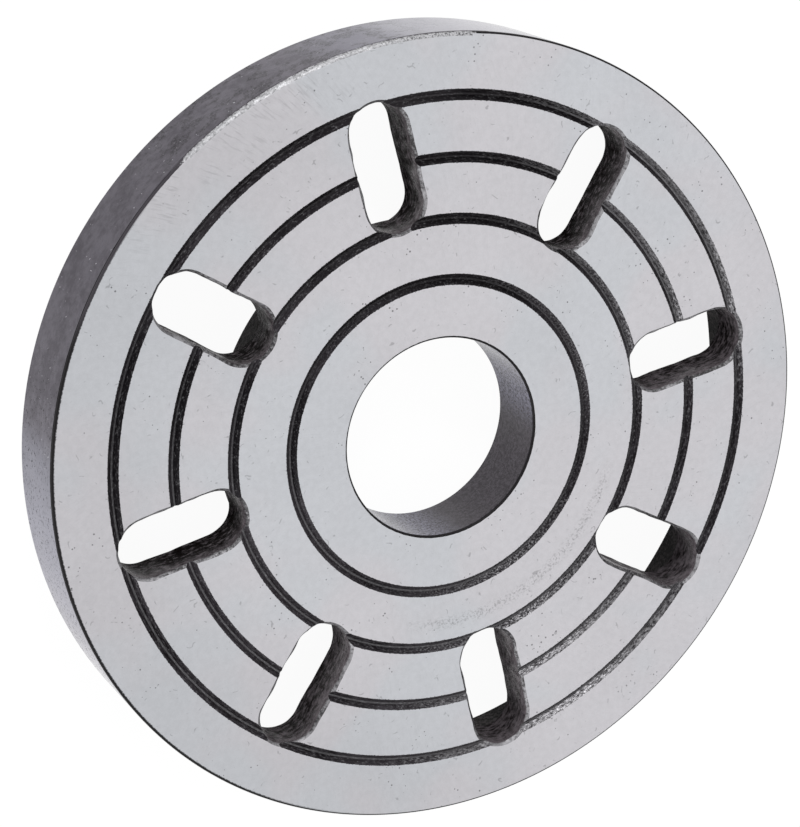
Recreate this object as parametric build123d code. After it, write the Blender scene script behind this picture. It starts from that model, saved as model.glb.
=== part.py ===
from build123d import *
import math
import os

# Lathe faceplate: one iron casting, turned all over except for the pocket in its back and
# the eight slots through its web. It lies on its back: the bore runs along +Z, the work face
# looks up, and the origin is on the bore axis in the plane of the back.

# Outside
outer_dia = 160.0
thickness = 18.5
web_thickness = 9.0
rim_width = 8.0

# Centre: the plain bore, then steps outwards to the spindle register, studs and hub edge
bore_dia = 40.5
register_ledge = 7.25
register_depth = 3.5
stud_inset = 5.5
hub_margin = 7.5

# Tapped stud holes in the back of the hub
stud_count = 3
stud_drill_dia = 5.0
stud_hole_depth = 11.0
drill_point_deg = 118.0

# Radial bolt slots, which stop a little short of the hub and of the rim
slot_count = 8
slot_width = 12.0
slot_hub_gap = 2.5
slot_rim_gap = 3.0

# Concentric centring grooves, V-shaped with a narrow flat root
groove_width = 2.2
groove_flat = 0.3
groove_inset = 1.0

# Broken machined edges, and the draft and the filled corners of the cast pocket
edge_break = 0.4
pocket_draft_deg = 1.5
pocket_corner = 2.0

# Sizes that follow from the ones above
outer_radius = outer_dia / 2
bore_radius = bore_dia / 2
register_radius = bore_radius + register_ledge
stud_circle_radius = register_radius + stud_inset
hub_radius = stud_circle_radius + hub_margin
rim_radius = outer_radius - rim_width
pocket_floor = thickness - web_thickness
slot_inner = hub_radius + slot_hub_gap
slot_outer = rim_radius - slot_rim_gap
slot_length = slot_outer - slot_inner
slot_circle_radius = (slot_inner + slot_outer) / 2
groove_pitch = slot_length / 2 - groove_inset
groove_depth = (groove_width - groove_flat) / 2


def groove_radii():
    """Grooves step outwards evenly. One crosses the middle of the slots, and its
    neighbours pass just inside the slot ends."""
    radius = slot_circle_radius
    while radius - groove_pitch > bore_radius + groove_width:
        radius -= groove_pitch
    radii = []
    while radius < outer_radius - groove_width:
        radii.append(radius)
        radius += groove_pitch
    return radii


def groove_points(radius):
    """The V of one groove, from its inner lip to its outer lip."""
    root = thickness - groove_depth
    return [
        (radius - groove_width / 2, thickness),
        (radius - groove_flat / 2, root),
        (radius + groove_flat / 2, root),
        (radius + groove_width / 2, thickness),
    ]


def front_points():
    """The work face, from the mouth of the bore to the outer edge."""
    points = [
        (bore_radius, thickness - edge_break),
        (bore_radius + edge_break, thickness),
    ]
    for radius in groove_radii():
        points += groove_points(radius)
    points += [
        (outer_radius - edge_break, thickness),
        (outer_radius, thickness - edge_break),
    ]
    return points


def back_points():
    """Rim, drafted pocket, hub and spindle register, from the outside inwards."""
    draft = math.tan(math.radians(pocket_draft_deg)) * (pocket_floor - edge_break)
    return [
        (outer_radius, edge_break),
        (outer_radius - edge_break, 0),
        (rim_radius + edge_break, 0),
        (rim_radius, edge_break),
        (rim_radius - draft, pocket_floor),
        (hub_radius + draft, pocket_floor),
        (hub_radius, edge_break),
        (hub_radius - edge_break, 0),
        (register_radius + edge_break, 0),
        (register_radius, edge_break),
        (register_radius, register_depth),
        (bore_radius, register_depth),
    ]


def turned_body():
    """The round section with filled pocket corners, revolved about the bore axis."""
    points = [(radius, 0, height) for radius, height in front_points() + back_points()]
    section = make_face(Polyline(*points, close=True))
    corners = [
        vertex
        for vertex in section.vertices()
        if abs(vertex.Z - pocket_floor) < 1e-6 and hub_radius < vertex.X < rim_radius
    ]
    return revolve(chamfer(corners, pocket_corner), axis=Axis.Z)


def slot_cutter():
    """One radial slot with round ends: the straight hole and its broken front edge."""
    outline = SlotOverall(slot_length, slot_width)
    hole = extrude(Pos(0, 0, pocket_floor - edge_break) * outline, web_thickness + edge_break)
    flare = extrude(Pos(0, 0, thickness - edge_break) * outline, 2 * edge_break, taper=-45)
    return Pos(slot_circle_radius, 0, 0) * (hole + flare)


def stud_hole_cutter():
    """A blind drilled hole with its point and a small countersink at the mouth."""
    radius = stud_drill_dia / 2
    point = radius / math.tan(math.radians(drill_point_deg / 2))
    points = [
        (0, 0, -edge_break),
        (radius + 2 * edge_break, 0, -edge_break),
        (radius, 0, edge_break),
        (radius, 0, stud_hole_depth),
        (0, 0, stud_hole_depth + point),
    ]
    hole = revolve(make_face(Polyline(*points, close=True)), axis=Axis.Z)
    return Pos(0, stud_circle_radius, 0) * hole


def ring_of(cutter, count):
    """Copies of a cutter, evenly spaced about the bore axis."""
    return [Rot(0, 0, step * 360 / count) * cutter for step in range(count)]


def faceplate():
    cutters = ring_of(slot_cutter(), slot_count)
    cutters += ring_of(stud_hole_cutter(), stud_count)
    return turned_body() - cutters


os.makedirs("parts", exist_ok=True)
export_step(faceplate(), "parts/faceplate.step")
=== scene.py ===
import math

import bpy
from mathutils import Matrix, Vector, noise


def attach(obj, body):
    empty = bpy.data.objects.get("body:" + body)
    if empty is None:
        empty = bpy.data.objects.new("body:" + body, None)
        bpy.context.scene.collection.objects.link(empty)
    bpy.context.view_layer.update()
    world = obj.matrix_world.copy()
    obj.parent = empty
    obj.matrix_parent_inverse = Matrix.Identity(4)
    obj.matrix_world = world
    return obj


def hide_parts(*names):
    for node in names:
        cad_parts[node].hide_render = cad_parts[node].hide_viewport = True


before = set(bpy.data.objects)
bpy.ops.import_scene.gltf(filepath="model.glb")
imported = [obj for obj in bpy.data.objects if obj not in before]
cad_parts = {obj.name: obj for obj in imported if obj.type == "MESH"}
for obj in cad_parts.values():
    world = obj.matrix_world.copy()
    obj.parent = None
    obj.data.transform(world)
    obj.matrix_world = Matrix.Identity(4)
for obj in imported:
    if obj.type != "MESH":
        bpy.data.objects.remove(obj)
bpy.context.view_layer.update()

# The casting as it left the lathe: one piece of grey iron, turned and bored all over but for the
# pocket behind its web. The section starts in the bore, crosses the work face and its four
# grooves, goes down the rim and comes back under the web, past the hub, to the bore.
mm = 0.001
ring_points = 840
bore_radius = 20.25
outer_radius = 80.0
face_height = 18.5
groove_pitch = 12.0
groove_radii = [32.0 + step * groove_pitch for step in range(4)]
groove_half_width = 1.1
groove_root_half_width = 0.15
groove_root_height = 17.55
grooved_from = 30.0
grooved_to = 70.0
rim_inner_radius = 72.0
pocket_floor = 9.5
pocket_fillet = 2.6
hub_radius = 40.5
register_radius = 27.5
register_height = 3.5


def turn(corners):
    """Extrudes the open ring from each corner of the section, in mm, to the next."""
    for (radius, height), (next_radius, next_height) in zip(corners, corners[1:]):
        bpy.ops.mesh.extrude_region_move(
            TRANSFORM_OT_translate={"value": (0, 0, (next_height - height) * mm)}
        )
        growth = next_radius / radius
        bpy.ops.transform.resize(value=(growth, growth, 1), center_override=(0, 0, 0))


def groove(radius):
    """The V of one groove, from the face inside it to the face outside it."""
    flank_middle = (groove_half_width + groove_root_half_width) / 2
    inner_side = [
        (radius - groove_half_width - 0.35, face_height),
        (radius - groove_half_width, face_height),
        (radius - flank_middle, (face_height + groove_root_height) / 2),
        (radius - groove_root_half_width, groove_root_height),
    ]
    outer_side = [(2 * radius - inside, height) for inside, height in reversed(inner_side)]
    return inner_side + outer_side


def fillet(centre_radius, centre_height, size, start_deg, end_deg, steps=5):
    """Points along a round corner of the section, about its centre."""
    points = []
    for step in range(steps + 1):
        turned = math.radians(start_deg + (end_deg - start_deg) * step / steps)
        radius = centre_radius + size * math.cos(turned)
        points.append((radius, centre_height + size * math.sin(turned)))
    return points


section = [
    (bore_radius, register_height + 0.3),
    (bore_radius, 10.0),
    (bore_radius, 17.7),
    (bore_radius, 18.05),
    (bore_radius + 0.2, 18.35),
    (bore_radius + 0.45, face_height),
    (bore_radius + 0.9, face_height),
]
for groove_radius in groove_radii:
    section += groove(groove_radius)
front_edge = [
    (outer_radius - 1.3, face_height),
    (outer_radius - 0.85, face_height),
    (outer_radius - 0.4, face_height),
    (outer_radius - 0.12, face_height - 0.12),
    (outer_radius, face_height - 0.4),
    (outer_radius, face_height - 0.8),
    (outer_radius, face_height - 1.2),
]
back_edge = [
    (outer_radius, 9.0),
    (outer_radius, 0.9),
    (outer_radius, 0.4),
    (outer_radius - 0.4, 0.0),
    (rim_inner_radius + 0.9, 0.0),
    (rim_inner_radius + 0.4, 0.0),
    (rim_inner_radius, 0.4),
]
section += front_edge + back_edge
fillet_height = pocket_floor - pocket_fillet
section.append((rim_inner_radius - 0.13, 4.5))
section += fillet(rim_inner_radius - 2.8, fillet_height, pocket_fillet, 0, 90)
section += [(radius, pocket_floor) for radius in (63.0, 56.0, 49.0)]
section += fillet(hub_radius + 2.84, fillet_height, pocket_fillet, 90, 180)
section.append((hub_radius + 0.12, 4.5))
hub_back = [
    (hub_radius, 0.4),
    (hub_radius - 0.4, 0.0),
    (hub_radius - 0.9, 0.0),
    (register_radius + 0.9, 0.0),
    (register_radius + 0.4, 0.0),
    (register_radius, 0.4),
    (register_radius, register_height - 0.3),
    (register_radius - 0.2, register_height),
    (24.0, register_height),
    (bore_radius + 0.3, register_height),
]
section += hub_back + section[:1]

bpy.ops.object.select_all(action="DESELECT")
bpy.ops.mesh.primitive_circle_add(
    vertices=ring_points,
    radius=section[0][0] * mm,
    location=(0, 0, section[0][1] * mm),
    enter_editmode=True,
)
casting = bpy.context.object
casting.name = "casting"
turn(section)
bpy.ops.mesh.select_all(action="SELECT")
bpy.ops.mesh.remove_doubles(threshold=0.002 * mm)
bpy.ops.mesh.normals_make_consistent(inside=False)
bpy.ops.object.mode_set(mode="OBJECT")
bpy.ops.object.transform_apply(location=True, rotation=True, scale=True)

# The work face: iron ground flat and bright, a little bluish, with short scratches that run
# outwards, hairline scuffs, pin-prick pores, and a smudge of grime outside the first groove.
top_deg = 77.7  # where the top of the plate lies, in degrees from the X axis


def clock(place):
    """Degrees clockwise from the top of the plate as it is seen from its front."""
    return (top_deg - math.degrees(math.atan2(place.y, place.x))) % 360


def new_material(name):
    """A node material and its shader."""
    material = bpy.data.materials.new(name)
    material.use_nodes = True
    return material, material.node_tree.nodes["Principled BSDF"]


def join(material, value, socket):
    """Sets a node's input to a plain value, or links it from another node."""
    if isinstance(value, bpy.types.NodeSocket):
        material.node_tree.links.new(value, socket)
    else:
        socket.default_value = value


def add_node(material, kind, inputs, output=0, **settings):
    """Adds a node with its inputs, by name or number, and gives one of its outputs."""
    node = material.node_tree.nodes.new(kind)
    for name, value in settings.items():
        setattr(node, name, value)
    for key, value in inputs.items():
        join(material, value, node.inputs[key])
    return node.outputs[output]


def millimetres(material):
    """Places on the piece, in mm."""
    where = add_node(material, "ShaderNodeTexCoord", {}, "Object")
    scale = (1000, 1000, 1000)
    return add_node(material, "ShaderNodeMapping", {"Vector": where, "Scale": scale})


def maths(material, operation, *values):
    """A sum on numbers, such as one taken times another plus a third."""
    inputs = dict(enumerate(values))
    return add_node(material, "ShaderNodeMath", inputs, operation=operation)


def vectors(material, operation, *values):
    """A sum on places or directions."""
    inputs = dict(enumerate(values))
    output = "Value" if operation in ("LENGTH", "DOT_PRODUCT") else "Vector"
    return add_node(material, "ShaderNodeVectorMath", inputs, output, operation=operation)


def speckle(material, where, scale, detail=2.0, roughness=0.5):
    """Noise about 0.5, with scale grains to the mm."""
    inputs = {"Vector": where, "Scale": scale, "Detail": detail, "Roughness": roughness}
    return add_node(material, "ShaderNodeTexNoise", inputs)


def ramp(material, value, low, high, start=0.0, end=1.0):
    """Eases from start to end as the value goes from low to high."""
    inputs = {"Value": value, "From Min": low, "From Max": high, "To Min": start, "To Max": end}
    return add_node(material, "ShaderNodeMapRange", inputs, interpolation_type="SMOOTHSTEP")


def blend_colour(material, share, colour_a, colour_b):
    """The first colour, going over to the second as the share goes from 0 to 1."""
    inputs = {0: share, 6: colour_a, 7: colour_b}
    return add_node(material, "ShaderNodeMix", inputs, 2, data_type="RGBA")


def relief(material, shader, height, strength, depth):
    """A bump of that depth in mm."""
    inputs = {"Strength": strength, "Distance": depth * mm, "Height": height}
    join(material, add_node(material, "ShaderNodeBump", inputs), shader.inputs["Normal"])


def from_axis(material, where):
    """Distance from the bore's axis, in mm."""
    return vectors(material, "LENGTH", vectors(material, "MULTIPLY", where, (1, 1, 0)))


def outward(material, where):
    """The direction away from the bore's axis."""
    return vectors(material, "NORMALIZE", vectors(material, "MULTIPLY", where, (1, 1, 0)))


def facing(material, outwards, clock_deg):
    """1 where outwards points to that clock angle, and -1 on the other side of the plate."""
    turned = math.radians(top_deg - clock_deg)
    ray = (math.cos(turned), math.sin(turned), 0)
    return vectors(material, "DOT_PRODUCT", outwards, ray)


def across_groove(material, radius):
    """Goes from 0 to the pitch between two lands, and is half the pitch in mid groove."""
    from_land = maths(material, "SUBTRACT", radius, groove_radii[0] - groove_pitch / 2)
    return maths(material, "FLOORED_MODULO", from_land, groove_pitch)


def coat(piece, material, belongs):
    """Gives a material to the faces that belong to it, by radius and height in mm and clock."""
    piece.data.materials.append(material)
    slot = len(piece.data.materials) - 1
    for face in piece.data.polygons:
        radius = math.hypot(face.center.x, face.center.y) / mm
        if belongs(radius, face.center.z / mm, clock(face.center)):
            face.material_index = slot


ground_iron, shader = new_material("ground iron")
where = millimetres(ground_iron)
radius = from_axis(ground_iron, where)
outwards = outward(ground_iron, where)
cloudy = speckle(ground_iron, where, 0.05, 4.0, 0.55)
mottle = speckle(ground_iron, where, 0.8, 4.0, 0.65)
fine = speckle(ground_iron, where, 3.5, 2.0, 0.6)

slant = maths(ground_iron, "MULTIPLY", radius, -0.006)
swirl = {"Vector": outwards, "Angle": slant}
swirled = add_node(ground_iron, "ShaderNodeVectorRotate", swirl, rotation_type="Z_AXIS")
around = vectors(ground_iron, "MULTIPLY", swirled, (170, 170, 170))
drawn_out = maths(ground_iron, "MULTIPLY", radius, 0.28)
along = add_node(ground_iron, "ShaderNodeCombineXYZ", {"Z": drawn_out})
scratch = speckle(ground_iron, vectors(ground_iron, "ADD", around, along), 1.0, 2.0, 0.6)
upper_left = ramp(ground_iron, facing(ground_iron, outwards, 325), 0.90, 0.99)
outer_band = ramp(ground_iron, radius, 69.0, 74.0)
patchy = ramp(ground_iron, speckle(ground_iron, where, 0.2, 1.0), 0.36, 0.62)
scratched = maths(ground_iron, "MULTIPLY", upper_left, outer_band)
scratched = maths(ground_iron, "MULTIPLY", maths(ground_iron, "ADD", scratched, 0.22), patchy)
streaks = maths(ground_iron, "MULTIPLY", ramp(ground_iron, scratch, 0.5, 0.68), scratched)

wander = speckle(ground_iron, where, 0.3, 1.0)
from_line = maths(ground_iron, "ABSOLUTE", maths(ground_iron, "SUBTRACT", wander, 0.5))
hairline = ramp(ground_iron, from_line, 0.006, 0.02, 1.0, 0.0)
here_and_there = ramp(ground_iron, speckle(ground_iron, where, 0.55, 2.0), 0.6, 0.68)
hairline = maths(ground_iron, "MULTIPLY", hairline, here_and_there)

pore_field = {"Vector": where, "Scale": 0.9}
pore_distance = add_node(ground_iron, "ShaderNodeTexVoronoi", pore_field, "Distance")
pore_size = ramp(ground_iron, speckle(ground_iron, where, 0.11, 2.0), 0.46, 0.70, 0.0, 0.2)
pore = ramp(ground_iron, maths(ground_iron, "SUBTRACT", pore_size, pore_distance), 0.0, 0.05)

smudge_radius = 39.2
smudge_side = ramp(ground_iron, facing(ground_iron, outwards, 148), 0.70, 0.86)
off_arc = maths(ground_iron, "ABSOLUTE", maths(ground_iron, "SUBTRACT", radius, smudge_radius))
smudge = maths(ground_iron, "MULTIPLY", smudge_side, ramp(ground_iron, off_arc, 0.2, 1.9, 1.0, 0.0))
smudge_grain = ramp(ground_iron, speckle(ground_iron, where, 2.2, 3.0, 0.7), 0.48, 0.64)
smudge = maths(ground_iron, "MULTIPLY", smudge, smudge_grain)

across = maths(ground_iron, "SUBTRACT", across_groove(ground_iron, radius), groove_pitch / 2)
from_groove = maths(ground_iron, "ABSOLUTE", across)
burr = maths(ground_iron, "MULTIPLY_ADD", speckle(ground_iron, where, 3.4, 2.0, 0.6), 0.6, 0.82)
torn = ramp(ground_iron, maths(ground_iron, "SUBTRACT", burr, from_groove), 0.0, 0.03)
past_first = ramp(ground_iron, radius, grooved_from, grooved_from + 0.1)
before_last = ramp(ground_iron, radius, grooved_to - 0.1, grooved_to, 1.0, 0.0)
torn = maths(ground_iron, "MULTIPLY", torn, past_first)
torn = maths(ground_iron, "MULTIPLY", torn, before_last)

# Painted shade: the face darkens a little towards its left side, more so further out.
painted_left_shade = ramp(ground_iron, facing(ground_iron, outwards, 260), -0.5, 0.6)
painted_left_shade = maths(ground_iron, "MULTIPLY", painted_left_shade, ramp(ground_iron, radius, 40.0, 76.0, 0.2, 1.0))
left = ramp(ground_iron, facing(ground_iron, outwards, 255), 0.45, 0.75)
grimy_reach = maths(ground_iron, "MULTIPLY_ADD", fine, 0.5, radius)
grimy_edge = maths(ground_iron, "MULTIPLY", left, ramp(ground_iron, grimy_reach, 79.58, 79.76))

tone = maths(ground_iron, "MULTIPLY_ADD", cloudy, 0.12, 0.90)
tone = maths(ground_iron, "MULTIPLY_ADD", ramp(ground_iron, mottle, 0.32, 0.68), 0.055, tone)
tone = maths(ground_iron, "MULTIPLY_ADD", ramp(ground_iron, fine, 0.3, 0.7), 0.035, tone)
darkened = [
    (grimy_edge, 0.93),
    (streaks, 0.13),
    (hairline, 0.3),
    (pore, 0.65),
    (smudge, 0.35),
    (torn, 0.93),
    (painted_left_shade, 0.1),
]
for mark, darkening in darkened:
    kept = maths(ground_iron, "MULTIPLY_ADD", mark, -darkening, 1.0)
    tone = maths(ground_iron, "MULTIPLY", tone, kept)
tint = ramp(ground_iron, speckle(ground_iron, where, 0.035, 2.0), 0.42, 0.58)
iron = blend_colour(ground_iron, tint, (0.612, 0.624, 0.655, 1), (0.632, 0.620, 0.648, 1))
shaded = vectors(ground_iron, "SCALE", iron)
join(ground_iron, tone, shaded.node.inputs["Scale"])
join(ground_iron, shaded, shader.inputs["Base Color"])
shader.inputs["Metallic"].default_value = 1.0
dull = maths(ground_iron, "MULTIPLY_ADD", mottle, 0.14, 0.33)
join(ground_iron, dull, shader.inputs["Roughness"])
fine_relief = maths(ground_iron, "MULTIPLY", fine, 0.15)
lines = maths(ground_iron, "MULTIPLY_ADD", scratched, scratch, fine_relief)
relief(ground_iron, shader, maths(ground_iron, "SUBTRACT", lines, pore), 0.12, 0.04)
coat(casting, ground_iron, lambda radius, height, clock_deg: True)

# The grooves, turned with a pointed tool and left nearly black with old oil and dirt. Their
# torn sides are wiped to speckled bare metal in places, most of all on the far side of the
# grooves at the lower right, where that bare metal is partly a painted highlight, as it is at
# the upper right. The near sides at the left and at the top are painted shade, and where the
# paler crust lies is partly painted light. The point of the tool left a thin bright line at the
# root.


def height_up(material, where):
    """Height above the back of the plate, in mm."""
    return add_node(material, "ShaderNodeSeparateXYZ", {"Vector": where}, "Z")


groove_dark, shader = new_material("groove")
where = millimetres(groove_dark)
radius = from_axis(groove_dark, where)
outwards = outward(groove_dark, where)
height = height_up(groove_dark, where)

around = vectors(groove_dark, "MULTIPLY", outwards, (80, 80, 80))
drawn_out = maths(groove_dark, "MULTIPLY", radius, 4.2)
along = add_node(groove_dark, "ShaderNodeCombineXYZ", {"Z": drawn_out})
crumbs = speckle(groove_dark, vectors(groove_dark, "ADD", around, along), 1.0, 3.0, 0.75)
long_way = vectors(groove_dark, "MULTIPLY", outwards, (26, 26, 26))
long_way = vectors(groove_dark, "MULTIPLY_ADD", along, (0, 0, 1.15), long_way)
tool_marks = speckle(groove_dark, long_way, 1.0, 3.0, 0.6)

across = across_groove(groove_dark, radius)
far_side = ramp(groove_dark, across, 6.1, 6.25)
near_side = ramp(groove_dark, across, 5.75, 5.9, 1.0, 0.0)
upper_right = facing(groove_dark, outwards, 52)
# Partly painted highlight: bare metal is set on the far sides at the lower and upper right, and a
# little on the near sides at the lower right.
wiped_and_highlit = maths(
    groove_dark, "ADD",
    ramp(groove_dark, facing(groove_dark, outwards, 153.8), 0.74, 0.99, 0.0, 0.22),
    ramp(groove_dark, upper_right, 0.72, 0.98, 0.0, 0.20),
)
wiped_and_highlit = maths(groove_dark, "MULTIPLY", wiped_and_highlit, ramp(groove_dark, radius, 20.0, 66.0, 0.35, 1.0))
wiped_and_highlit = maths(groove_dark, "MULTIPLY", wiped_and_highlit, far_side)
lower_right = ramp(groove_dark, facing(groove_dark, outwards, 119.9), 0.45, 0.9, 0.0, 0.09)
wiped_and_highlit = maths(groove_dark, "MULTIPLY_ADD", near_side, lower_right, wiped_and_highlit)
bare = ramp(groove_dark, maths(groove_dark, "ADD", crumbs, wiped_and_highlit), 0.52, 0.98)

root_share = maths(
    groove_dark, "MULTIPLY_ADD",
    ramp(groove_dark, upper_right, 0.75, 0.99),
    ramp(groove_dark, radius, 30.0, 66.0, 0.05, 0.35),
    ramp(groove_dark, facing(groove_dark, outwards, 199.6), -0.3, 0.8, 0.05, 0.28),
)
root = ramp(groove_dark, height, groove_root_height + 0.01, groove_root_height + 0.07, 1.0, 0.0)
root = maths(groove_dark, "MULTIPLY", root, root_share)
broken_up = ramp(groove_dark, crumbs, 0.3, 0.6, 0.5, 1.0)
bare = maths(groove_dark, "MULTIPLY_ADD", root, broken_up, bare)

oily = ramp(groove_dark, speckle(groove_dark, where, 0.03, 1.0), 0.42, 0.58)
colour = blend_colour(groove_dark, oily, (0.021, 0.0185, 0.021, 1), (0.006, 0.0048, 0.0056, 1))
top = facing(groove_dark, outwards, 20)
upper_left = facing(groove_dark, outwards, 320)
# Partly painted light: where the paler crust lies is set by which way each side of a groove faces.
crusted = maths(groove_dark, "MULTIPLY", near_side, ramp(groove_dark, top, 0.2, 0.9, 1.0, 0.1))
crusted = maths(
    groove_dark, "MULTIPLY_ADD",
    far_side, ramp(groove_dark, upper_left, 0.3, 0.9, 0.7, 0.05), crusted,
)
marked = maths(groove_dark, "MULTIPLY", crumbs, 0.4)
marked = maths(groove_dark, "MULTIPLY_ADD", tool_marks, 0.6, marked)
crusted = maths(groove_dark, "MULTIPLY", crusted, ramp(groove_dark, marked, 0.42, 0.66))
colour = blend_colour(groove_dark, crusted, colour, (0.060, 0.055, 0.062, 1))
# Painted shade: the near sides of the grooves at the left and at the top are made nearly black.
painted_black_shade = maths(
    groove_dark, "MAXIMUM",
    ramp(groove_dark, facing(groove_dark, outwards, 276), 0.90, 0.97, 0.0, 0.9),
    ramp(groove_dark, top, 0.86, 0.97, 0.0, 0.6),
)
painted_black_shade = maths(groove_dark, "MULTIPLY", painted_black_shade, near_side)
colour = blend_colour(groove_dark, painted_black_shade, colour, (0.0025, 0.0020, 0.0026, 1))
colour = blend_colour(groove_dark, bare, colour, (0.36, 0.355, 0.37, 1))
join(groove_dark, colour, shader.inputs["Base Color"])
join(groove_dark, bare, shader.inputs["Metallic"])
shader.inputs["Roughness"].default_value = 0.32
shader.inputs["IOR"].default_value = 1.26
shader.inputs["Specular Tint"].default_value = (0.52, 0.49, 0.55, 1)
relief(groove_dark, shader, crumbs, 0.5, 0.10)


def is_groove(radius, height, clock_deg):
    deep_enough = groove_root_height - 0.05 < height < face_height - 0.05
    return deep_enough and grooved_from < radius < grooved_to


coat(casting, groove_dark, is_groove)

# The outside of the rim, turned, then darkened by oil and handling: cloudy and blotched, with
# short dark dashes along the cut and a few bright nicks. It is paler at the left and at the top
# and bluish further left, which is painted reflection, with a painted highlight along the top.
rim_dark, shader = new_material("turned rim")
where = millimetres(rim_dark)
outwards = outward(rim_dark, where)
height = height_up(rim_dark, where)

cloud = speckle(rim_dark, where, 0.13, 2.0)
blotch = speckle(rim_dark, where, 0.5, 5.0, 0.75)
stain = maths(rim_dark, "MULTIPLY_ADD", blotch, 0.6, maths(rim_dark, "MULTIPLY", cloud, 0.4))
stained = ramp(rim_dark, stain, 0.40, 0.60)
colour = blend_colour(rim_dark, stained, (0.023, 0.019, 0.025, 1), (0.060, 0.054, 0.066, 1))
left = facing(rim_dark, outwards, 262.7)
# Painted reflection: paler patches on the rim at the left and at the top.
painted_pale_reflection = maths(
    rim_dark, "MAXIMUM",
    ramp(rim_dark, facing(rim_dark, outwards, 248), 0.92, 0.965),
    ramp(rim_dark, facing(rim_dark, outwards, 0), 0.94, 0.985, 0.0, 0.8),
)
colour = blend_colour(rim_dark, painted_pale_reflection, colour, (0.120, 0.121, 0.148, 1))
# Painted highlight: a bright band along the top of the rim.
painted_top_highlight = ramp(rim_dark, facing(rim_dark, outwards, 3), 0.980, 0.997, 0.0, 0.6)
colour = blend_colour(rim_dark, painted_top_highlight, colour, (0.36, 0.37, 0.38, 1))
# Painted reflection: a paler, bluish patch at the left of the rim.
painted_bluish_reflection = ramp(rim_dark, left, 0.962, 0.990, 0.0, 0.65)
colour = blend_colour(rim_dark, painted_bluish_reflection, colour, (0.25, 0.258, 0.30, 1))

around = vectors(rim_dark, "MULTIPLY", outwards, (90, 90, 90))
dash_place = vectors(rim_dark, "ADD", around, vectors(rim_dark, "MULTIPLY", where, (0, 0, 2.6)))
dashes = ramp(rim_dark, speckle(rim_dark, dash_place, 1.0, 3.0, 0.7), 0.60, 0.64)
dashed_side = ramp(rim_dark, facing(rim_dark, outwards, 256), 0.80, 0.96, 0.25, 1.0)
dash = maths(rim_dark, "MULTIPLY", dashes, dashed_side)
blotched = maths(
    rim_dark, "MULTIPLY",
    ramp(rim_dark, speckle(rim_dark, where, 0.33, 3.0, 0.6), 0.47, 0.56),
    ramp(rim_dark, speckle(rim_dark, where, 2.2, 3.0, 0.75), 0.40, 0.57),
)
upper_left = ramp(rim_dark, facing(rim_dark, outwards, 336), 0.91, 0.965, 0.12, 0.68)
blotched = maths(rim_dark, "MULTIPLY", blotched, upper_left)
grimy_reach = maths(rim_dark, "MULTIPLY_ADD", blotch, 0.8, height)
grimy_edge = maths(
    rim_dark, "MULTIPLY",
    ramp(rim_dark, left, 0.45, 0.75), ramp(rim_dark, grimy_reach, 18.1, 18.35),
)
dirt = maths(rim_dark, "MAXIMUM", dash, maths(rim_dark, "MAXIMUM", grimy_edge, blotched))
colour = blend_colour(rim_dark, dirt, colour, (0.004, 0.003, 0.004, 1))
nick = ramp(rim_dark, speckle(rim_dark, where, 1.6, 1.0), 0.76, 0.79)
colour = blend_colour(rim_dark, nick, colour, (0.5, 0.5, 0.52, 1))
join(rim_dark, colour, shader.inputs["Base Color"])
dull = maths(rim_dark, "MULTIPLY_ADD", dash, 0.4, maths(rim_dark, "MULTIPLY", stain, 0.2))
join(rim_dark, dull, shader.inputs["Roughness"])
join(rim_dark, maths(rim_dark, "MULTIPLY_ADD", dirt, -0.5, 0.5), shader.inputs["Metallic"])
shader.inputs["IOR"].default_value = 1.33
shader.inputs["Specular Tint"].default_value = (0.92, 0.89, 0.97, 1)
shader.inputs["Specular IOR Level"].default_value = 0.44
glossy = ramp(rim_dark, stain, 0.40, 0.60, 0.32, 0.56)
glossy = maths(rim_dark, "MULTIPLY", glossy, maths(rim_dark, "SUBTRACT", 1.0, dirt))
join(rim_dark, glossy, shader.inputs["Specular IOR Level"])
relief(rim_dark, shader, maths(rim_dark, "SUBTRACT", stain, dash), 0.25, 0.04)


def is_rim(radius, height, clock_deg):
    return radius > outer_radius - 0.1 and height < face_height - 0.3


coat(casting, rim_dark, is_rim)

# The bore, finished to size with a boring bar and dark with the same oil, a little sandy. It is
# It is darkest at the lower right, which is painted shade. Elsewhere it is a bluish painted
# reflection, with fine grit and pits.
bore_dark, shader = new_material("bore")
where = millimetres(bore_dark)
outwards = outward(bore_dark, where)
sand = speckle(bore_dark, where, 1.5, 4.0, 0.85)
sanded = ramp(bore_dark, sand, 0.42, 0.60)
colour = blend_colour(bore_dark, sanded, (0.012, 0.008, 0.012, 1), (0.029, 0.022, 0.031, 1))
# Painted reflection and painted shade: a pale bluish tone all round the bore but at the lower
# right, which is left darkest.
painted_bluish_reflection = ramp(bore_dark, facing(bore_dark, outwards, 130), 0.56, 0.86, 1.0, 0.0)
grit = speckle(bore_dark, where, 2.0, 3.0, 0.75)
gritty_painted_reflection = maths(bore_dark, "MULTIPLY", painted_bluish_reflection, ramp(bore_dark, grit, 0.40, 0.57, 0.15, 1.0))
colour = blend_colour(bore_dark, gritty_painted_reflection, colour, (0.150, 0.148, 0.215, 1))
join(bore_dark, colour, shader.inputs["Base Color"])
dull = maths(bore_dark, "MULTIPLY_ADD", sanded, 0.16, 0.10)
join(bore_dark, dull, shader.inputs["Roughness"])
shader.inputs["IOR"].default_value = 1.4
shader.inputs["Specular Tint"].default_value = (0.96, 0.88, 1.0, 1)
shader.inputs["Specular IOR Level"].default_value = 0.5
pitted = maths(bore_dark, "MULTIPLY", ramp(bore_dark, grit, 0.41, 0.54, 0.75, 0.0), painted_bluish_reflection)
unpitted = maths(bore_dark, "MULTIPLY_ADD", pitted, -1.0, 1.0)
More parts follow.
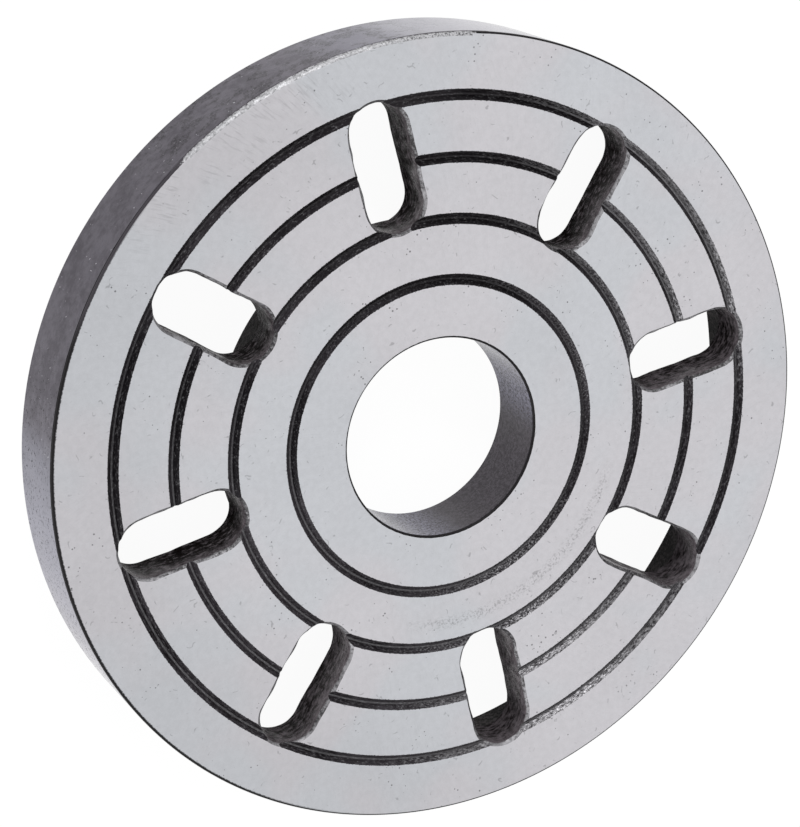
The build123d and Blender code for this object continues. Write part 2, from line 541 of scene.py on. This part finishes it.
glossy = maths(bore_dark, "MULTIPLY", ramp(bore_dark, sand, 0.41, 0.59, 0.35, 0.66), unpitted)
join(bore_dark, glossy, shader.inputs["Specular IOR Level"])
relief(bore_dark, shader, sand, 0.2, 0.04)


def is_bore(radius, height, clock_deg):
    return radius < bore_radius + 0.05 and register_height < height < face_height - 0.4


coat(casting, bore_dark, is_bore)

# The back of the hub and of the rim, and the register for the spindle: faced and bored with a
# fine feed, grey and unworn, and not ground.
feed_pitch = 0.25
turned_back, shader = new_material("turned back")
where = millimetres(turned_back)
radius = from_axis(turned_back, where)
feed = maths(turned_back, "SINE", maths(turned_back, "MULTIPLY", radius, 2 * math.pi / feed_pitch))
stain = speckle(turned_back, where, 0.15, 3.0)
colour = blend_colour(turned_back, stain, (0.30, 0.30, 0.31, 1), (0.42, 0.42, 0.44, 1))
join(turned_back, colour, shader.inputs["Base Color"])
shader.inputs["Metallic"].default_value = 1.0
shader.inputs["Roughness"].default_value = 0.38
relief(turned_back, shader, feed, 0.2, 0.02)


def is_back(radius, height, clock_deg):
    return radius < outer_radius - 0.05 and height < register_height + 0.1


coat(casting, turned_back, is_back)

# The pocket behind the web, left as it came out of the sand: a dull dark skin, grainy and a
# little lumpy, on the web, on the inside of the rim and on the outside of the hub.
cast_skin, shader = new_material("cast skin")
where = millimetres(cast_skin)
sand = speckle(cast_skin, where, 1.1, 5.0, 0.65)
lumps = maths(cast_skin, "MULTIPLY", speckle(cast_skin, where, 0.16, 3.0), 0.4)
lumps = maths(cast_skin, "MULTIPLY_ADD", sand, 0.6, lumps)
lumpy = ramp(cast_skin, lumps, 0.44, 0.62)
colour = blend_colour(cast_skin, lumpy, (0.0035, 0.0028, 0.0028, 1), (0.10, 0.09, 0.092, 1))
join(cast_skin, colour, shader.inputs["Base Color"])
shader.inputs["Roughness"].default_value = 0.6
shader.inputs["Specular IOR Level"].default_value = 0.06
relief(cast_skin, shader, sand, 0.7, 0.3)


def is_pocket(radius, height, clock_deg):
    return hub_radius < radius < rim_inner_radius and 0.3 < height < pocket_floor + 0.1


coat(casting, cast_skin, is_pocket)

# The broken edges of the rim and of the bore's mouth, darkened nearly to black. Along the upper
# left of the rim, where the plate is set down and knocked, the edge is worn to bright metal, which
# is partly a painted highlight, less so at the right end of that stretch. Just past its left end
# the edge is only as dark as the rim.
worn_edge, shader = new_material("worn edge")
where = millimetres(worn_edge)
outwards = outward(worn_edge, where)
height = height_up(worn_edge, where)
on_rim = ramp(worn_edge, from_axis(worn_edge, where), 50.0, 51.0)
flakes = speckle(worn_edge, where, 2.4, 3.0, 0.8)

# Partly painted highlight: the band of bright metal along the upper left of the rim's edge.
knocked_highlight_side = maths(worn_edge, "MULTIPLY", facing(worn_edge, outwards, 342), on_rim)
knocked_and_highlit = ramp(worn_edge, knocked_highlight_side, 0.905, 0.930, -0.12, 0.35)
right_end = ramp(worn_edge, facing(worn_edge, outwards, 10), 0.927, 0.990, 0.0, 0.14)
knocked_and_highlit = maths(worn_edge, "SUBTRACT", knocked_and_highlit, right_end)
bare = ramp(worn_edge, maths(worn_edge, "ADD", flakes, knocked_and_highlit), 0.54, 0.74)
worn_reach = maths(worn_edge, "ADD", flakes, height)
worn_reach = maths(worn_edge, "MULTIPLY_ADD", knocked_and_highlit, 2.15, worn_reach)
bare = maths(worn_edge, "MULTIPLY", bare, ramp(worn_edge, worn_reach, 18.85, 19.25))

flaked = ramp(worn_edge, flakes, 0.36, 0.62)
metal = blend_colour(worn_edge, flaked, (0.30, 0.30, 0.31, 1), (0.58, 0.58, 0.60, 1))
less_black_side = maths(worn_edge, "MULTIPLY", facing(worn_edge, outwards, 307), on_rim)
black = maths(
    worn_edge, "MULTIPLY",
    ramp(worn_edge, height, 18.0, 18.2), ramp(worn_edge, less_black_side, 0.955, 0.985, 1.0, 0.1),
)
oiled = blend_colour(worn_edge, black, (0.045, 0.040, 0.048, 1), (0.004, 0.003, 0.004, 1))
colour = blend_colour(worn_edge, bare, oiled, metal)
join(worn_edge, colour, shader.inputs["Base Color"])
join(worn_edge, bare, shader.inputs["Metallic"])
shader.inputs["Roughness"].default_value = 0.5
shader.inputs["IOR"].default_value = 1.3
relief(worn_edge, shader, flakes, 0.5, 0.08)


def near(degrees, middle, reach):
    """1 at the middle of a stretch of the rim, easing to 0 at its reach on either side."""
    away = abs((degrees - middle + 180) % 360 - 180) / reach
    return max(0.0, 1 - away * away)


def is_worn(radius, height, clock_deg):
    on_edge = radius > outer_radius - 1 or radius < bore_radius + 1
    broken_edge = on_edge and face_height - 0.45 < height < face_height - 0.001
    band_edge = 0.2 if radius < outer_radius - 0.4 else 0
    in_band = near(clock_deg, 342, 25) > band_edge
    knocked_and_highlit = in_band and height > face_height - 0.9 and radius > outer_radius - 0.7
    return broken_edge or knocked_and_highlit


coat(casting, worn_edge, is_worn)

# Wear of the turned edges, in the mesh: the cutter left the lips of the grooves a little ragged,
# and knocks have chipped the front edge of the rim, most of all along its upper left.
deepest_chip = 0.45


def grain(place, size, seed=0.0):
    """Smooth noise from -1 to 1 with grains of that size in mm."""
    return noise.noise(place / (size * mm) + Vector((seed, 2 * seed, 3 * seed)))


for vertex in casting.data.vertices:
    place = vertex.co
    radius = math.hypot(place.x, place.y) / mm
    height = place.z / mm
    outwards = Vector((place.x, place.y, 0)).normalized()
    for groove_radius in groove_radii:
        from_lip = abs(abs(radius - groove_radius) - groove_half_width)
        if height > face_height - 0.01 and from_lip < 0.02:
            tear = 0.04 * grain(place, 0.3, 4) + 0.04 * grain(place, 1.1, 7)
            if radius > groove_radius:
                tear *= 0.5
            vertex.co += outwards * tear * mm
    if radius > outer_radius - 0.9 and face_height - 0.45 < height:
        chip = 0.4 + 0.8 * abs(grain(place, 1.0, 2)) + 0.4 * grain(place, 0.5, 5)
        if radius < outer_radius - 0.45:
            chip *= 0.15 if radius > outer_radius - 0.6 else 0.0
        chip *= 0.42 * near(clock(place), 339, 29)
        inwards = (Vector((0, 0, -0.7)) - outwards).normalized()
        vertex.co += inwards * max(0.0, min(deepest_chip, chip)) * mm
    if bore_radius < radius < bore_radius + 0.5 and height > face_height - 0.2:
        vertex.co += outwards * 0.05 * grain(place, 0.7, 9) * mm

# The eight bolt slots, cast through the web and never machined inside. Each is a round cutter
# with a flared top, drawn out to a slot, its sides rough as cast. They came out of the sand
# slightly off their places and a little askew.
slot_half_width = 6.0
slot_half_length = 7.0
slot_circle_radius = 56.0
slot_points = 96
slot_side_cuts = 28
slot_step_deg = 45
# How far each slot is off: degrees round the plate, mm outwards, and degrees of twist.
slot_drift = [
    (-0.7, 0.4, 1.1),
    (-0.3, 0.2, 2.3),
    (-0.4, 0.1, 2.4),
    (0.4, -0.4, 1.4),
    (0.1, -0.35, 1.1),
    (0.6, -0.35, 0.6),
    (0.15, 0.5, 0.1),
    (0.15, 0.5, 3.5),
]

# The walls of the slots: cast skin, darkening to nearly black deep down and lighter towards the
# front, which is painted shade, with paler crust in streaks, most of all at the lower right.
slot_dark, shader = new_material("slot wall")
where = millimetres(slot_dark)
outwards = outward(slot_dark, where)
height = height_up(slot_dark, where)
skin = speckle(slot_dark, vectors(slot_dark, "MULTIPLY", where, (0.8, 0.8, 0.5)), 0.6, 6.0, 0.66)
sand = speckle(slot_dark, where, 1.8, 3.0, 0.7)
# Painted shade: the walls darken towards nearly black deeper into the slot.
towards_top = ramp(slot_dark, maths(slot_dark, "MULTIPLY_ADD", skin, 7.0, height), 17.8, 21.6)
deep_painted_shade = (0.0045, 0.0030, 0.0027, 1)
colour = blend_colour(slot_dark, towards_top, deep_painted_shade, (0.085, 0.073, 0.080, 1))
pitted = ramp(slot_dark, sand, 0.36, 0.50, 0.7, 0.0)
colour = blend_colour(slot_dark, pitted, colour, (0.003, 0.002, 0.002, 1))
squeezed = vectors(slot_dark, "MULTIPLY", where, (0.7, 0.7, 1.7))
streaky = speckle(slot_dark, squeezed, 1.0, 4.0, 0.62)
crust_start = ramp(slot_dark, facing(slot_dark, outwards, 142.7), -0.1, 0.9, 0.48, 0.32)
crusted = ramp(slot_dark, streaky, crust_start, 0.68, 0.0, 0.85)
colour = blend_colour(slot_dark, crusted, colour, (0.17, 0.148, 0.162, 1))
join(slot_dark, colour, shader.inputs["Base Color"])
join(slot_dark, ramp(slot_dark, skin, 0.3, 0.7, 0.5, 0.16), shader.inputs["Roughness"])
shader.inputs["IOR"].default_value = 1.22
shader.inputs["Specular Tint"].default_value = (1.0, 0.88, 0.95, 1)
shader.inputs["Specular IOR Level"].default_value = 0.3
oily = maths(slot_dark, "MULTIPLY_ADD", skin, 0.5, speckle(slot_dark, where, 0.08, 1.0))
glossy = maths(
    slot_dark, "MULTIPLY",
    ramp(slot_dark, oily, 0.64, 0.92, 0.05, 0.6), ramp(slot_dark, height, 11.5, 17.5, 0.1, 1.0),
)
join(slot_dark, glossy, shader.inputs["Specular IOR Level"])
relief(slot_dark, shader, maths(slot_dark, "MULTIPLY_ADD", skin, 2.0, sand), 0.7, 0.3)

# The broken front edges of the slots, filed by hand and rubbed bare in places.
slot_lip, shader = new_material("slot lip")
where = millimetres(slot_lip)
flakes = speckle(slot_lip, where, 1.6, 3.0, 0.75)
rubbed = speckle(slot_lip, where, 0.09, 2.0)
bare = ramp(slot_lip, maths(slot_lip, "MULTIPLY_ADD", rubbed, 0.8, flakes), 0.74, 1.1)
colour = blend_colour(slot_lip, bare, (0.014, 0.012, 0.014, 1), (0.34, 0.335, 0.35, 1))
join(slot_lip, colour, shader.inputs["Base Color"])
join(slot_lip, bare, shader.inputs["Metallic"])
shader.inputs["Roughness"].default_value = 0.5
relief(slot_lip, shader, flakes, 0.6, 0.15)

slot_section = [(slot_half_width, height) for height in (8.6, 10.0, 11.7, 13.4, 15.1, 16.6, 17.5)]
slot_section += [
    (slot_half_width + 0.05, 17.95),
    (slot_half_width + 0.27, 18.24),
    (slot_half_width + 0.58, 18.48),
    (slot_half_width + 1.0, 18.85),
]
slot_cutters = []
for index, (drift_deg, outward_shift, twist_deg) in enumerate(slot_drift):
    bpy.ops.object.select_all(action="DESELECT")
    bpy.ops.mesh.primitive_circle_add(
        vertices=slot_points,
        radius=slot_half_width * mm,
        fill_type="NGON",
        rotation=(0, 0, math.radians(180 / slot_points)),
    )
    bpy.ops.object.transform_apply(location=True, rotation=True, scale=True)
    cutter = bpy.context.object
    bpy.ops.object.mode_set(mode="EDIT")
    bpy.ops.mesh.select_all(action="SELECT")
    bpy.ops.transform.translate(value=(0, 0, slot_section[0][1] * mm))
    turn(slot_section)
    bpy.ops.object.mode_set(mode="OBJECT")
    for vertex in cutter.data.vertices:
        vertex.co.x += math.copysign(slot_half_length * mm, vertex.co.x)
    for edge in cutter.data.edges:
        ends = [cutter.data.vertices[end].co.x for end in edge.vertices]
        edge.select = ends[0] * ends[1] < 0
    bpy.ops.object.mode_set(mode="EDIT")
    bpy.ops.mesh.select_mode(type="EDGE")
    bpy.ops.mesh.subdivide(number_cuts=slot_side_cuts)
    bpy.ops.mesh.select_all(action="SELECT")
    bpy.ops.mesh.normals_make_consistent(inside=False)
    bpy.ops.object.mode_set(mode="OBJECT")
    place = (
        Matrix.Rotation(math.radians(slot_step_deg * index + drift_deg), 4, "Z")
        @ Matrix.Translation(((slot_circle_radius + outward_shift) * mm, 0, 0))
        @ Matrix.Rotation(math.radians(twist_deg), 4, "Z")
    )
    cutter.data.transform(place)
    cutter.data.update()
    sides = [vertex.normal.copy() for vertex in cutter.data.vertices]
    for vertex, side in zip(cutter.data.vertices, sides):
        swell = 0.25 * grain(vertex.co, 6.0, index) + 0.06 * grain(vertex.co, 1.6, index + 20)
        if 17.9 < vertex.co.z / mm < 18.3:
            swell += 0.25 * grain(vertex.co, 3.0, index + 40)
        vertex.co += Vector((side.x, side.y, 0)).normalized() * swell * mm
    cutter.data.materials.append(slot_dark)
    cutter.data.materials.append(slot_lip)
    for face in cutter.data.polygons:
        face.material_index = 1 if face.center.z > 18.05 * mm else 0
    slot_cutters.append(cutter)


def cut(piece, cutters):
    """Cuts a piece with closed cutters, which leave their materials on the cut and are gone."""
    bpy.ops.object.select_all(action="DESELECT")
    for cutter in cutters:
        cutter.select_set(True)
    bpy.context.view_layer.objects.active = cutters[0]
    bpy.ops.object.join()
    joined = bpy.context.object
    bpy.ops.object.select_all(action="DESELECT")
    piece.select_set(True)
    bpy.context.view_layer.objects.active = piece
    boolean = piece.modifiers.new("cut", "BOOLEAN")
    boolean.object = joined
    boolean.operation = "DIFFERENCE"
    boolean.solver = "MANIFOLD"
    boolean.material_mode = "TRANSFER"
    bpy.ops.object.modifier_apply(modifier=boolean.name)
    bpy.data.objects.remove(joined)


cut(casting, slot_cutters)

# The three holes in the back of the hub, for the studs that hold the plate to the spindle
# flange: drilled 5 mm, countersunk, and tapped M6 most of the way. Rings make the thread.
stud_circle_radius = 33.0
stud_hole_depth = 11.0
drill_point_depth = 12.45
hole_points = 48
thread_core = 2.5
thread_outside = 3.0
thread_pitch = 1.0
thread_turns = 9
hole_section = [(thread_outside + 1.0, -0.5), (thread_outside + 0.2, 0.3)]
for turn_number in range(thread_turns):
    start = 0.5 + turn_number * thread_pitch
    hole_section += [
        (thread_core, start),
        (thread_core, start + 0.18),
        (thread_outside, start + 0.52),
        (thread_outside, start + 0.64),
    ]
hole_section += [(thread_core, 9.6), (thread_core, stud_hole_depth), (0.05, drill_point_depth)]
thread_bright, shader = new_material("thread")
where = millimetres(thread_bright)
sand = speckle(thread_bright, where, 3.0, 2.0)
colour = blend_colour(thread_bright, sand, (0.20, 0.20, 0.21, 1), (0.34, 0.34, 0.35, 1))
join(thread_bright, colour, shader.inputs["Base Color"])
shader.inputs["Metallic"].default_value = 1.0
shader.inputs["Roughness"].default_value = 0.35

hole_cutters = []
for hole_deg in (90, 210, 330):
    bpy.ops.object.select_all(action="DESELECT")
    bpy.ops.mesh.primitive_circle_add(
        vertices=hole_points,
        radius=hole_section[0][0] * mm,
        fill_type="NGON",
        enter_editmode=True,
    )
    bpy.ops.transform.translate(value=(0, 0, hole_section[0][1] * mm))
    turn(hole_section)
    bpy.ops.mesh.edge_face_add()
    bpy.ops.mesh.select_all(action="SELECT")
    bpy.ops.mesh.normals_make_consistent(inside=False)
    bpy.ops.object.mode_set(mode="OBJECT")
    hole = bpy.context.object
    way = math.radians(hole_deg)
    place = Vector((math.cos(way), math.sin(way), 0)) * stud_circle_radius * mm
    hole.data.transform(Matrix.Translation(place))
    hole.data.materials.append(thread_bright)
    hole_cutters.append(hole)
cut(casting, hole_cutters)

# The finished casting, smooth but for its machined edges, takes the place of the plain solid.
casting.data.name = "casting"
bpy.ops.object.select_all(action="DESELECT")
casting.select_set(True)
bpy.context.view_layer.objects.active = casting
bpy.ops.object.shade_smooth_by_angle(angle=math.radians(32))
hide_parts("faceplate")
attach(casting, "root")

# The floor: a wide pale table just under the plate. To the camera, and in the gloss of the
# metal, it looks white, and it keeps the plate's soft shadow.
bpy.ops.object.select_all(action="DESELECT")
bpy.ops.mesh.primitive_plane_add(size=8.0, location=(0, 0, -0.02 * mm))
floor = bpy.context.object
floor.name = "floor"
pale, shader = new_material("pale table")
shader.inputs["Base Color"].default_value = (0.80, 0.80, 0.80, 1)
shader.inputs["Roughness"].default_value = 1.0
shader.inputs["Specular IOR Level"].default_value = 0.0
rays = add_node(pale, "ShaderNodeLightPath", {}).node.outputs
seen = maths(pale, "MAXIMUM", rays["Is Camera Ray"], rays["Is Glossy Ray"])
seen = maths(pale, "MAXIMUM", seen, rays["Is Transmission Ray"])
glow = add_node(pale, "ShaderNodeEmission", {"Color": (1, 1, 1, 1), "Strength": 0.95})
shadowed = add_node(pale, "ShaderNodeBsdfDiffuse", {"Color": (0.07, 0.07, 0.07, 1)})
white = add_node(pale, "ShaderNodeAddShader", {0: glow, 1: shadowed})
surface = add_node(pale, "ShaderNodeMixShader", {0: seen, 1: shader.outputs[0], 2: white})
join(pale, surface, pale.node_tree.nodes["Material Output"].inputs["Surface"])
floor.data.materials.append(pale)

# Light: a pale tent all round, white to the camera, and two soft lamps, one over the top edge
# of the plate and a larger one lower down, off its left side.
tent = bpy.data.worlds.new("tent")
bpy.context.scene.world = tent
tent.use_nodes = True
lit = tent.node_tree.nodes["Background"]
lit.inputs["Color"].default_value = (1, 1, 1, 1)
lit.inputs["Strength"].default_value = 0.92
backdrop = add_node(tent, "ShaderNodeBackground", {"Color": (1, 1, 1, 1), "Strength": 1.0})
seen = add_node(tent, "ShaderNodeLightPath", {}, "Is Camera Ray")
surround = add_node(tent, "ShaderNodeMixShader", {0: seen, 1: lit.outputs[0], 2: backdrop})
join(tent, surround, tent.node_tree.nodes["World Output"].inputs["Surface"])

lamp_distance = 0.9
# Name, clock angle, degrees above the floor, width in m, and watts.
lamps = [
    ("key", 352, 38, 0.15, 1.7),
    ("fill", 232, 20, 0.3, 1.4),
]
for name, clock_deg, rise_deg, size, watts in lamps:
    way = math.radians(top_deg - clock_deg)
    rise = math.radians(rise_deg)
    level_way = Vector((math.cos(way), math.sin(way), 0))
    towards = level_way * math.cos(rise) + Vector((0, 0, math.sin(rise)))
    bpy.ops.object.light_add(
        type="AREA",
        location=towards * lamp_distance,
        rotation=towards.to_track_quat("Z", "Y").to_euler(),
    )
    lamp = bpy.context.object
    lamp.name = name
    lamp.data.shape = "DISK"
    lamp.data.size = size
    lamp.data.energy = watts

# The camera, above the plate and to its left, where the photographer stood. It is rolled until
# the plate seems to stand up.
camera_place = Vector((-177.09, 203.22, 465.89)) * mm
aim = Vector((-7.57, 8.05, 18.5)) * mm
roll = math.radians(122.76)
back = (camera_place - aim).normalized()
level = Vector((0, 0, 1)).cross(back).normalized()
upright = back.cross(level)
right = level * math.cos(roll) + upright * math.sin(roll)
up = back.cross(right)
turned = Matrix((right, up, back)).transposed().to_euler()
bpy.ops.object.camera_add(location=camera_place, rotation=turned)
camera = bpy.context.object
camera.data.lens = 115.68
camera.data.sensor_width = 36
camera.data.clip_start = 0.01
bpy.context.scene.camera = camera
bpy.context.scene.view_settings.view_transform = "Standard"
